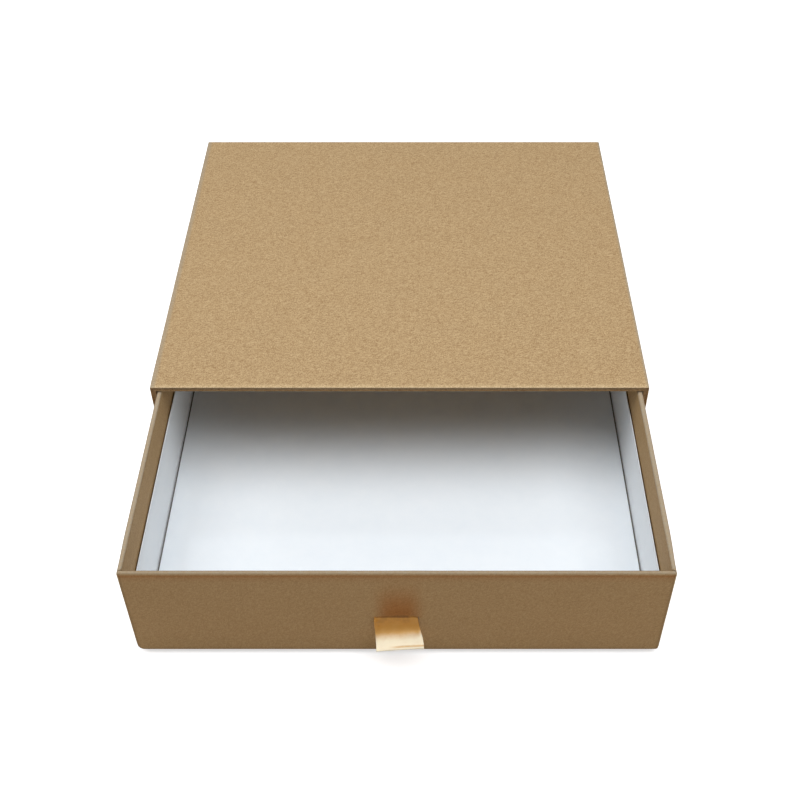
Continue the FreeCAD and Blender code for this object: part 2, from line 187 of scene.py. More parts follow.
kraft = {
    "mid": "#B18E60", "dark": "#7E5B36", "light": "#D9BE92", "worn": "#A99D89",
    # how painted light changes the colour: a warm painted shade, a grey-brown painted shade, and a painted
    # highlight, in that order
    "paste": (-0.16, -0.44, -0.66), "grime": (-0.45, -0.48, -0.54), "polish": (0.24, 0.32, 0.42),
    "cloud": 14.0,               # mm, uneven pulp
    "speck": 0.8,                # mm, fibre bundles, drawn coarse enough to show
    "fibre": (2.6, 0.42, 0.42),  # mm, long fibres, several times the real width so that they show
    "lightFibre": (0.58, 0.68), "darkFibre": (0.42, 0.32),  # a fibre's soft side in the noise
    "fleck": 0.5,                # how strongly those fibres show
    "clouded": (0.5, 0.9),       # how much of the speck shows, from cloud to cloud
    "roughness": (0.62, 0.84),
    "relief": 0.035,             # mm
}


def kraftPaper(name, strength):
    # unbleached kraft, machine glazed: a brown sheet with light and dark fibre flecks and little gloss;
    # the strength is that of its flecks and its tooth
    made, tree, shader = newMaterial(name)
    where = addNode(tree, "TexCoord").outputs["Object"]
    cloud = addNode(tree, "TexNoise", {"Scale": 1000 / kraft["cloud"], "Detail": 4.0, "Roughness": 0.6},
                    {"Vector": where})
    speck = addNode(tree, "TexNoise", {"Scale": 1000 / kraft["speck"], "Detail": 3.0, "Roughness": 0.65},
                    {"Vector": where})
    light, dark, relief = None, None, speck.outputs[0]
    size = [side * mm for side in kraft["fibre"]]
    for turn in ((0.2, 0.1, 0.3), (0.9, -0.6, 1.5), (-0.5, 1.2, 2.6)):
        laid = addNode(tree, "Mapping", {"vector_type": "TEXTURE", "Rotation": turn, "Scale": size},
                       {"Vector": where})
        fibre = addNode(tree, "TexNoise", {"Scale": 1.0, "Detail": 1.0}, {"Vector": laid.outputs[0]})
        high = remap(tree, fibre.outputs[0], kraft["lightFibre"])
        low = remap(tree, fibre.outputs[0], kraft["darkFibre"])
        light = high if light is None else combine(tree, "MAXIMUM", light, high)
        dark = low if dark is None else combine(tree, "MAXIMUM", dark, low)
        relief = combine(tree, "ADD", relief, fibre.outputs[0])
    mottle = remap(tree, speck.outputs[0], (0.25, 0.75), (0.25, 0.80))
    ground = addNode(tree, "Mix", {"data_type": "RGBA", 6: linear(kraft["dark"]), 7: linear(kraft["light"])},
                     {0: mottle})
    clouded = remap(tree, cloud.outputs[0], (0.0, 1.0), [share * strength for share in kraft["clouded"]])
    colour = addNode(tree, "Mix", {"data_type": "RGBA", 6: linear(kraft["mid"])},
                     {0: clouded, 7: ground.outputs[2]})
    for kind, fibres in (("dark", dark), ("light", light)):
        share = addNode(tree, "Math", {"operation": "MULTIPLY", 1: kraft["fleck"] * strength}, {0: fibres})
        colour = addNode(tree, "Mix", {"data_type": "RGBA", 7: linear(kraft[kind])},
                         {0: share.outputs[0], 6: colour.outputs[2]})
    # painted light for each spot, from the sheet's attribute: darker for painted shade, lighter for a
    # painted highlight
    stain = addNode(tree, "Attribute", {"attribute_name": "stain"})
    paintedLit = addNode(tree, "VectorMath", {"operation": "MULTIPLY_ADD"},
                      {0: colour.outputs[2], 1: stain.outputs["Vector"], 2: colour.outputs[2]})
    worn = addNode(tree, "Attribute", {"attribute_name": "wear"})
    grain = remap(tree, speck.outputs[0], (0.3, 0.7), (0.45, 1.0))
    rubbed = combine(tree, "MULTIPLY", worn.outputs["Fac"], grain)
    edged = addNode(tree, "Mix", {"data_type": "RGBA", 7: linear(kraft["worn"])},
                    {0: rubbed, 6: paintedLit.outputs[0]})
    tree.links.new(edged.outputs[2], shader.inputs["Base Color"])
    rough = remap(tree, cloud.outputs[0], (0.0, 1.0), kraft["roughness"])
    tree.links.new(rough, shader.inputs["Roughness"])
    bump = addNode(tree, "Bump", {"Strength": strength, "Distance": kraft["relief"] * mm},
                   {"Height": relief})
    tree.links.new(bump.outputs[0], shader.inputs["Normal"])
    dress(shader, {"IOR": 1.45, "Specular IOR Level": 0.22})
    return made


def fibreSheet(name, colours, size, relief, roughness, settings):
    # any plain paper or board: pulp that clouds slightly, a fine tooth, and its own gloss
    made, tree, shader = newMaterial(name)
    where = addNode(tree, "TexCoord").outputs["Object"]
    pulp = addNode(tree, "TexNoise", {"Scale": 1000 / size, "Detail": 5.0, "Roughness": 0.65},
                   {"Vector": where})
    tooth = addNode(tree, "TexNoise", {"Scale": 6000 / size, "Detail": 2.0}, {"Vector": where})
    tone = addNode(tree, "Mix", {"data_type": "RGBA", 6: linear(colours[0]), 7: linear(colours[1])},
                   {0: remap(tree, pulp.outputs[0], (0.3, 0.7))})
    tree.links.new(tone.outputs[2], shader.inputs["Base Color"])
    rough = remap(tree, tooth.outputs[0], (0.0, 1.0), roughness)
    tree.links.new(rough, shader.inputs["Roughness"])
    bump = addNode(tree, "Bump", {"Strength": 0.4, "Distance": relief * mm}, {"Height": tooth.outputs[0]})
    tree.links.new(bump.outputs[0], shader.inputs["Normal"])
    dress(shader, settings)
    return made


satin = {
    # painted light along the loop, share and colour: painted shade in the slit, lighter beside it and
    # halfway, a painted highlight at the flattened end
    "tones": ((0.0, "#6B3F10"), (0.15, "#B97E2E"), (0.5, "#CD9C58"), (1.0, "#FFF6DC")),
    "sheen": "#FFDDA8",          # the dyed threads colour what they reflect
    "thread": 1.885,             # mm from one fine line to the next, drawn far wider than threads to show
    "slub": 3.0,                 # mm, uneven yarn
    "roughness": (0.30, 0.42),
    "relief": 0.02,              # mm
}


def satinRibbon():
    # polyester satin, woven: long shining floats with fine lines along the ribbon
    made, tree, shader = newMaterial("polyesterSatinWoven")
    where = addNode(tree, "TexCoord").outputs["Object"]
    scale = 1000 / satin["thread"] * 2 * math.pi / 20  # the wave node repeats every 2 pi / 20
    threads = addNode(tree, "TexWave", {"bands_direction": "X", "Scale": scale, "Distortion": 0.6,
                                        "Detail": 1.0}, {"Vector": where})
    slub = addNode(tree, "TexNoise", {"Scale": 1000 / satin["slub"], "Detail": 3.0}, {"Vector": where})
    uneven = remap(tree, slub.outputs[0], (0.3, 0.7), (-0.05, 0.05))
    # the base colour carries painted light: painted shade in the slit, painted sheen, and a painted
    # highlight at the loop's end
    pressed = addNode(tree, "Attribute", {"attribute_name": "pressed"})
    tone = addNode(tree, "ValToRGB", links={0: combine(tree, "ADD", pressed.outputs["Fac"], uneven)})
    stops = tone.color_ramp.elements
    for k, (place, colour) in enumerate(satin["tones"]):
        stop = stops[k] if k < 2 else stops.new(place)
        stop.position, stop.color = place, linear(colour)
    tree.links.new(tone.outputs[0], shader.inputs["Base Color"])
    rough = remap(tree, threads.outputs["Fac"], (0.0, 1.0), satin["roughness"])
    tree.links.new(rough, shader.inputs["Roughness"])
    bump = addNode(tree, "Bump", {"Strength": 0.25, "Distance": satin["relief"] * mm},
                   {"Height": threads.outputs["Fac"]})
    tree.links.new(bump.outputs[0], shader.inputs["Normal"])
    dress(shader, {"Specular IOR Level": 0.8, "Specular Tint": linear(satin["sheen"]), "Anisotropic": 0.4})
    return made


materials = {
    "kraft_paper": kraftPaper("kraftPaperMachineGlazed", 1.0),
    # grey pressed waste board: speckled, matt and a little hairy
    "greyboard": fibreSheet("greyboardPressed", ("#6A6762", "#827E77"), 3.0, 0.05, (0.82, 0.95), {}),
    # gummed kraft tape: smoother and yellower than the wrap
    "paper_tape": fibreSheet("gummedPaperTape", ("#B9A274", "#C9B68C"), 6.0, 0.03, (0.45, 0.62), {}),
    # woodfree paper, coated matt: clean cool white with a soft sheen
    "white_paper": fibreSheet("woodfreePaperMattCoated", ("#F5F9FC", "#F9FCFE"), 9.0, 0.012,
                              (0.40, 0.52), {}),
    # white card, coated semi-gloss: reflects the walls as soft grey bands
    "white_card": fibreSheet("cardCoatedSemiGloss", ("#E9EFF4", "#EDF2F6"), 12.0, 0.004, (0.09, 0.14),
                             {"Specular IOR Level": 0.6}),
    "satin_ribbon": satinRibbon(),
}
# the card's cut edge, coloured dark grey as painted shade, so that the gap round the card looks dark
cardEdgeShade = fibreSheet("cardEdgePaintedShade", ("#46484A", "#5A5B5C"), 1.5, 0.03, (0.80, 0.95), {})
drawerKraft = kraftPaper("kraftPaperCalendered", 0.4)  # the tray's sheet is the same kraft, rolled smoother
print("materials made:", len(materials))

slots = {part["node"]: part["material_slot"] for part in frame["record"]["subparts"]}
for name, node in nodes.items():
    node.data.materials.clear()
    node.data.materials.append(materials[slots[name]])


def spanOf(node):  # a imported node's lowest and highest corner, in mm
    low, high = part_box(node)
    return [value / mm for value in (*low, *high)]


def spread(length, extra=(), step=3.0, near=(0.5, 1.1, 2.2)):
    # places along one panel, from 0 to just under 1, closer together next to its folds
    inner = length - near[-1]
    count = max(1, round((inner - near[-1]) / step))
    marks = {0.0, *near, *[length - d for d in near], *extra,
             *[near[-1] + (inner - near[-1]) * k / count for k in range(count + 1)]}
    kept = []
    for mark in sorted(marks):
        if mark < length - 1e-6 and (not kept or mark - kept[-1] > 0.02):
            kept.append(mark)
    return [mark / length for mark in kept]


bend = [0.0, 0.2, 0.4, 0.6, 0.8]  # places round a fold


def stopsOf(parts):  # 0 to 1 is the first part, 1 to 2 the second, and so on
    return [k + t for k, part in enumerate(parts) for t in part] + [float(len(parts))]


def partOf(stop, count):
    k = min(int(stop + 1e-9), count - 1)
    return k, stop - k


foldTurn = 0.012  # a spot counts as a fold where its faces turn this far from each other


def foldSheet(across, along, place, kept, shape, facing, marks):
    # a die-cut sheet: place() folds each spot of the flat grid, kept() says where there is paper, and
    # marks() how much a fold there is rubbed, how much a flat is, and its painted shade and highlight
    bm = bmesh.new()
    spots = {}
    for i in range(len(across) - 1):
        for j in range(len(along) - 1):
            if not kept((across[i] + across[i + 1]) / 2, (along[j] + along[j + 1]) / 2):
                continue
            corners = []
            for key in ((i, j), (i + 1, j), (i + 1, j + 1), (i, j + 1)):
                if key not in spots:
                    spots[key] = bm.verts.new(place(across[key[0]], along[key[1]]))
                corners.append(spots[key])
            bm.faces.new(corners)
    bmesh.ops.remove_doubles(bm, verts=bm.verts, dist=0.002)
    bm.normal_update()
    outer = max(bm.faces, key=lambda face: face.calc_center_median().dot(Vector(facing)))
    if outer.normal.dot(Vector(facing)) < 0:
        bmesh.ops.reverse_faces(bm, faces=bm.faces)
    bm.normal_update()
    wear, stain = bm.verts.layers.float.new("wear"), bm.verts.layers.float_vector.new("stain")
    for vert in bm.verts:
        turn = min((face.normal.dot(vert.normal) for face in vert.link_faces), default=1.0)
        foldShare, flatShare, vert[stain] = marks(vert.co)
        vert[wear] = max(flatShare, foldShare * max(0.0, min(1.0, (1.0 - turn) / foldTurn)))
    for vert in bm.verts:
        vert.co = shape(vert.co.copy(), vert.normal.copy())
    mesh = bpy.data.meshes.new("sheet")
    bm.to_mesh(mesh)
    bm.free()
    return mesh


def wave(co, size, seed=0.0):  # smooth noise from about -1 to 1, with bumps of this size in mm
    return noise.noise(Vector((co.x / size + seed, co.y / size - seed, co.z / size + 0.5 * seed)))


def smooth(x, low, high):
    t = max(0.0, min(1.0, (x - low) / (high - low)))
    return t * t * (3 - 2 * t)


def paintedLightOf(**shares):  # sums the painted shade and painted highlight; a share of 0.5 is half as strong as a full one
    return sum((Vector(kraft[kind]) * share for kind, share in shares.items()), Vector((0, 0, 0)))


def plainMarks(co):
    return 0.25, 0.0, paintedLightOf()


def pieceName(node):  # drawer_front_board becomes drawerFrontBoard
    first, *others = node.split("_")
    return first + "".join(word.capitalize() for word in others)


def fittedCopy(node, cuts, move):
    # a hidden board or tape, cut finer at these planes and moved so that it stays under its paper
    bm = bmesh.new()
    bm.from_mesh(nodes[node].data)
    bmesh.ops.scale(bm, vec=(1 / mm,) * 3, verts=bm.verts)
    for axis, places in cuts.items():
        for value in places:
            at = Vector([value if k == axis else 0.0 for k in range(3)])
            normal = Vector([1.0 if k == axis else 0.0 for k in range(3)])
            geometry = [*bm.verts, *bm.edges, *bm.faces]
            bmesh.ops.bisect_plane(bm, geom=geometry, plane_co=at, plane_no=normal)
    for vert in bm.verts:
        vert.co = move(vert.co.copy())
    mesh = bpy.data.meshes.new(node)
    bm.to_mesh(mesh)
    bm.free()
    makePiece(pieceName(node), [mesh], 0, slots[node], node.split("_")[0], [node])


def applyModifiers(piece):  # keeps the mesh as its modifiers leave it
    graph = bpy.context.evaluated_depsgraph_get()
    solid = bpy.data.meshes.new_from_object(piece.evaluated_get(graph))
    piece.modifiers.clear()
    piece.data = solid


def makePiece(name, sheets, thickness, slot, body, replaced):
    # joins the sheets, gives them the paper's thickness inwards, and sets their body
    whole = bmesh.new()
    for sheet in sheets:
        whole.from_mesh(sheet)
        bpy.data.meshes.remove(sheet)
    mesh = bpy.data.meshes.new(name)
    whole.to_mesh(mesh)
    whole.free()
    mesh.transform(Matrix.Scale(mm, 4))
    piece = bpy.data.objects.new(name, mesh)
    bpy.context.scene.collection.objects.link(piece)
    if thickness:
        shell = piece.modifiers.new("thickness", "SOLIDIFY")
        shell.thickness = thickness * mm
        shell.offset = -1
        applyModifiers(piece)
    piece.data.name = name
    piece.data.shade_smooth()
    piece.data.set_sharp_from_angle(angle=math.radians(42))
    piece.data.materials.clear()
    piece.data.materials.append(materials[slot])
    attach(piece, body)
    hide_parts(*replaced)
    return piece


sleeveWrap = {
    "edge": 0.60,        # mm, radius of the long folds, just clear of the board's corner
    "mouthEdge": 0.36,   # radius of the folds round the mouth
    "insideReach": 15.0,  # turned in at the mouth
    "wall": 2.5,         # board and papers together
    "flap": 15.2,        # turned under the base
    "mouthTab": 2.6, "backTab": 4.0,          # its strip round the mouth, and its end up the back
    "ear": 15.0,         # side paper folded onto the back, under the back panel
    "earLift": 0.07,     # and how much it lifts that panel
    "taper": 0.7,        # the back panel is cut this much narrower at each side
    "paper": 0.1,
    "wander": 0.045,     # how far glue and board leave the paper from flat
    "ripple": 0.012,     # and its finer unevenness
    "mouthWander": 0.10, "mouthReach": 3.5,   # more of it next to the mouth
    "hollow": 0.42,      # the paper is drawn in between the mouth's two edges
    "rubbedShadedLeft": 2.2, "rubbedShadedRight": 1.4,    # mm, how wide the top's long edges are rubbed grey and given painted shade
    "boardsBack": 0.62,  # the boards and tapes end this much earlier at the mouth, behind that hollow
}


def mouthHollow(depth, wall):  # how far the mouth's face is drawn in, at this depth from the outer side
    return sleeveWrap["hollow"] * math.sin(math.pi * max(0.0, min(1.0, depth / wall))) ** 2


def makeSleeveWrap():
    s = sleeveWrap
    x0, y0, z0, x1, y1, z1 = spanOf("sleeve_outer_wrap")
    r, m, tall, deep = s["edge"], s["mouthEdge"], z1 - z0, y1 - y0
    side = spread(tall - 2 * r)
    across = stopsOf([spread(s["flap"] - r, step=6.0, extra=(s["flap"] - s["mouthTab"],)), bend, side, bend,
                      spread(x1 - x0 - 2 * r), bend, side, bend,
                      spread(s["flap"] - r, step=6.0, extra=(s["mouthTab"] - r,))])
    mouth = spread(s["wall"] - 2 * m, step=0.2, near=(0.2,))
    back = spread(tall - 2 * r, extra=(s["ear"] - r, s["ear"] - r + 1.0))
    along = stopsOf([spread(s["insideReach"] - m, step=4.0), bend, mouth, bend, spread(deep - m - r), bend,
                     back, bend, spread(s["insideReach"], step=6.0)])

    def profile(stop):  # how far in from the outside, how far back, and whether corners are mitred
        k, t = partOf(stop, 9)
        a = math.radians(90 * t)
        if k == 0:
            return s["wall"], y0 + s["insideReach"] - t * (s["insideReach"] - m), True
        if k <= 3:
            inset, y = {1: (s["wall"] - m + m * math.cos(a), y0 + m - m * math.sin(a)),
                        2: (s["wall"] - m - t * (s["wall"] - 2 * m), y0),
                        3: (m - m * math.sin(a), y0 + m - m * math.cos(a))}[k]
            return inset, y + mouthHollow(inset, s["wall"]), True
        if k == 4:
            return 0.0, y0 + m + t * (deep - m - r), False
        if k == 5:
            return r - r * math.cos(a), y1 - r + r * math.sin(a), False
        if k == 6:
            return r + t * (tall - 2 * r), y1, False
        if k == 7:
            return tall - r + r * math.sin(a), y1 - r + r * math.cos(a), False
        return tall, y1 - r - t * (s["insideReach"] - r), False

    def place(u, v):
        inset, y, mitred = profile(v)
        k, t = partOf(u, 9)
        f, tv = partOf(v, 9)
        radius = max(r - inset, 0.15) if mitred else max(r - inset, 0.0)
        c = inset + radius if mitred else r
        free = x0 + s["flap"]
        if k in (0, 8):
            t = t if k == 0 else 1 - t
            x, z = max(x0 + c, free + t * (x0 + r - free)), z0 + inset
            x = x if k == 0 else -x
        elif k in (2, 6):
            t = t if k == 2 else 1 - t
            x, z = x0 + inset, z0 + c + t * (tall - 2 * c)
            x = x if k == 2 else -x
        elif k == 4:
            x, z = x0 + c + t * (x1 - x0 - 2 * c), z1 - inset
        else:
            a = math.radians({1: 270, 3: 180, 5: 90, 7: 0}[k] - 90 * t)
            x = (x0 + c if k < 4 else x1 - c) + radius * math.cos(a)
            z = (z0 + c if k in (1, 7) else z1 - c) + radius * math.sin(a)
        if f >= 5 and k != 4:  # the ears lie one paper deeper than the back panel
            under = {3: 1 - t, 5: t}.get(k, 1.0) * (tv if f == 5 else 1.0)
            y -= s["paper"] * under
        if f >= 6 and k == 4:
            x *= 1 - s["taper"] * smooth(inset, 0, 6) / x1
        return x, y, z

    def kept(u, v):
        k, t = partOf(u, 9)
        f = partOf(v, 9)[0]
        inset = profile(v)[0]
        if k in (0, 8):
            fromEdge = (1 - t if k == 0 else t) * (s["flap"] - r) + r
            atBack, atMouth = inset < s["backTab"], fromEdge < s["mouthTab"]
            return f in (4, 5) or (f == 6 and atBack) or (f in (1, 2, 3) and atMouth)
        if k in (2, 6):
            return f <= 5 or (f == 6 and inset < s["ear"])
        return True if k == 4 else f <= 5

    def shape(co, normal):
        deepIn = s["wander"] * (0.5 + 0.5 * wave(co, 38.0)) + s["ripple"] * (1 + wave(co, 7.0, 3.0))
        nearMouth = y0 + s["mouthReach"] - co.y
        if nearMouth > 0:  # the mouth's edge is the least even
            deepIn += s["mouthWander"] * (0.5 + 0.5 * wave(co, 9.0, 5.0)) * smooth(nearMouth, 0, 2.5)
        if co.y > y1 - 0.05:  # the hidden ears lift the back panel a little
            edge = min(x1 - abs(co.x), z1 - co.z + 40)
            deepIn += s["earLift"] * smooth(edge, s["ear"], s["ear"] + 1.6)
        return co - normal * deepIn

    def marks(co):
        # painted highlight along the top next to the mouth, painted shade on the mouth's face, and the top's
        # long edges worn grey with a little painted shade
        onTop, inset = smooth(co.z, z1 - 0.9, z1 - 0.3), x1 - abs(co.x)
        nearMouth = smooth(y0 + 2.6 - co.y, 0, 1.8) * onTop
        depth = min(inset, z1 - co.z, co.z - z0)
        inMouth = smooth(depth, 0.2, 0.5) * smooth(y0 + 0.9 - co.y, 0, 0.3)
        rubbed = smooth((s["rubbedShadedLeft"] if co.x < 0 else s["rubbedShadedRight"]) - inset, 0, 0.8) * onTop
        stain = paintedLightOf(polish=nearMouth, grime=0.7 * inMouth + 0.2 * rubbed, paste=0.2 * inMouth)
        return 0.35, 0.8 * rubbed, stain

    sheet = foldSheet(across, along, place, kept, shape, (0, 0, 1), marks)
    makePiece("sleeveWrap", [sheet], s["paper"], "kraft_paper", "sleeve", ["sleeve_outer_wrap"])
    end = y0 + s["boardsBack"] + 0.2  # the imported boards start 0.2 mm behind the wrap's front
    for node in ("sleeve_top_board", "sleeve_base_board", "sleeve_left_board", "sleeve_right_board",
                 "sleeve_edge_tapes"):
        fittedCopy(node, {}, lambda co: Vector((co.x, max(co.y, end), co.z)))


def makeSleeveBaseSheet():
    # pasted under the base, round the mouth's lower edge and in over the base board
    s = sleeveWrap
    x0, y0, z0, x1, y1, z1 = spanOf("sleeve_base_sheet")
    r, wall = s["mouthEdge"], z1 - z0
    across = stopsOf([spread(x1 - x0, step=4.0)])
    mouth = spread(wall - 2 * r, step=0.25, near=(0.25,))
    along = stopsOf([spread(y1 - y0 - r, step=5.0), bend, mouth, bend,
                     spread(s["insideReach"] - r, step=4.0)])

    def place(u, v):
        k, t = partOf(v, 5)
        a = math.radians(90 * t)
        y, z = {0: (y1 - t * (y1 - y0 - r), z0),
                1: (y0 + r - r * math.sin(a), z0 + r - r * math.cos(a)),
                2: (y0, z0 + r + t * (wall - 2 * r)),
                3: (y0 + r - r * math.cos(a), z1 - r + r * math.sin(a)),
                4: (y0 + r + t * (s["insideReach"] - r), z1)}[k]
        return x0 + min(u, 1.0) * (x1 - x0), y + (mouthHollow(z - z0, wall) if 0 < k < 4 else 0.0), z

    def shape(co, normal):
        deepIn = s["wander"] * (0.5 + 0.5 * wave(co, 33.0, 15.0))
        nearMouth = y0 + s["mouthReach"] - co.y
        if nearMouth > 0:
            deepIn += s["mouthWander"] * (0.5 + 0.5 * wave(co, 9.0, 17.0)) * smooth(nearMouth, 0, 2.5)
        return co - normal * deepIn

    sheet = foldSheet(across, along, place, lambda u, v: True, shape, (0, 0, -1), plainMarks)
    makePiece("sleeveBaseSheet", [sheet], s["paper"], "kraft_paper", "sleeve", ["sleeve_base_sheet"])


makeSleeveWrap()
makeSleeveBaseSheet()
print("sleeve wrapped")


lining = {
    "paper": 0.30,
    "over": 0.10,        # mm, how far the lining's face stands in front of the kraft band
    "lean": 0.75,        # mm, how far its upper edge has come away from the wall
    "top": 37.3,         # mm, its upper edge above the table
    "topWander": 0.16,
    "wallX": 104.9, "wallY": (-197.0, -4.5),  # mm, the kraft faces that the four are pasted on
    "shortSides": 0.2, "shortEnds": 0.1,      # mm, cut this much shorter than the wall at each end
    "embossed": 0.10,    # mm, how far the ribbon's tails show through the front lining
}


drawerWrap = {
    "edge": 0.65,        # mm, radius of the folds
    "footEdge": 0.35,    # radius of the folds at the foot, pressed sharper
    "rim": 2.0,          # width of the rim, board and papers together
    "crown": 0.40,       # the rim's paper stands this much above the board
    "puffLeft": 0.28, "puffRight": 0.48,      # the side papers stand off the board below the rim
    "rubbedSides": 1.0, "rubbedShadedEnds": 0.8,    # how far the rim's colour is rubbed off; on the end rims this also sets painted shade
    "neck": 0.15,        # the panel is pressed in this much just below the rim
    "band": 18.6,        # turned in over the rim, its lower end under the lining
    "underBase": 8.0,    # turned under the base
    "ear": 15.0, "earLift": 0.06,
    "paper": 0.1,
    "wander": 0.04, "ripple": 0.010,
    "rimWander": 0.11, "rimDip": 0.10,
    "footLeft": 2.7, "footRight": 1.4,        # mm, how wide the crushed corners at the front's foot are
    "footTall": 1.5,                          # and how many times taller than wide
    "footMarks": (0.4, 0.8, 1.3, 1.9, 2.6, 3.4, 4.4, 5.6),  # a finer grid next to those corners
    "slit": (-9.48, 8.32, 24.2, 25.9),        # mm: left, right, bottom, top
    "slitMarks": (0, 0.5, 1.1, 2.0, 3.2, 4.6, 6.2, 8.0, 10.0),  # a finer grid above it
    "lipLift": 0.40, "lipReach": 1.8,         # the slit's upper lip is pushed up, fading out this far up
    "dent": 0.40, "dentReach": 4.5,           # and the panel above it is pressed in
    "pasted": 1.0, "slitShadeReach": 17.0,        # and given a warm painted shade, where the ribbon keeps light off it, this far up
    "boardsIn": 0.22, "staysIn": 0.14,        # how far the hidden boards and stays lie inside the paper
    "cornerCuts": (0.5, 1.0, 1.6, 2.4, 3.4, 5.0),     # where they are cut finer, from the crushed corners
    "boardSlit": 24.9, "boardSlitWorn": 0.8,  # the board's slit starts here, worn down by the ribbon
    # where the board is cut finer there: along X, and up from the slit's top
    "boardSlitCuts": ((-12.0, -9.5, -6.0, -3.0, 0.0, 3.0, 6.0, 9.5, 12.0), (0, 1.0, 2.5, 5.0, 9.0)),
}


def wallProfile(stop, z0, z1):  # distance in from the outer face, and height, round one wall of the tray
    d = drawerWrap
    r, f, w = d["edge"], d["footEdge"], d["rim"]
    k, t = partOf(stop, 7)
    a = math.radians(90 * t)
    if k == 0:
        return d["underBase"] - t * (d["underBase"] - f), z0 + d["paper"] * (1 - t)
    if k == 1:
        return f - f * math.sin(a), z0 + f - f * math.cos(a)
    if k == 2:
        return 0.0, z0 + f + t * (z1 - z0 - r - f)
    if k == 6:
        return w, z1 - r - t * (d["band"] - r)
    inset, z = {3: (r - r * math.cos(a), z1 - r + r * math.sin(a)),
                4: (r + t * (w - 2 * r), z1),
                5: (w - r + r * math.sin(a), z1 - r + r * math.cos(a))}[k]
    return inset, z + d["crown"] * (1 - (2 * inset / w - 1) ** 2)


def footCorner(co, x0, y0, z0, x1):  # rounds the two crushed corners at the front's foot
    d = drawerWrap
    left = co.x < 0
    full = d["footLeft"] if left else d["footRight"]
    across, back, up = co.x - x0 if left else x1 - co.x, co.y - y0, (co.z - z0) / d["footTall"]
    radius = full + (d["footEdge"] - full) * smooth(back, 0.8 * full, 3.0 * full)
    inner = Vector((max(0.0, radius - across), max(0.0, radius - up)))
    fromFace = max(0.0, d["footEdge"] - back)
    limit = radius - d["footEdge"] + math.sqrt(max(0.0, d["footEdge"] ** 2 - fromFace ** 2))
    if inner.length <= limit + 1e-4 or 0 in inner:
        return co
    inner *= limit / inner.length
    across = radius - inner[0]
    return Vector((x0 + across if left else x1 - across, co.y, z0 + (radius - inner[1]) * d["footTall"]))


def aboveSlit(co, reach):  # 1 at the slit's upper lip, fading out over this height
    _, right, low, high = drawerWrap["slit"]
    up = max(co.z - high, 0) / reach
    return smooth(co.z, low, high) * math.exp(-up ** 3) * smooth(right - abs(co.x - 0.5), -3.0, 5.0)


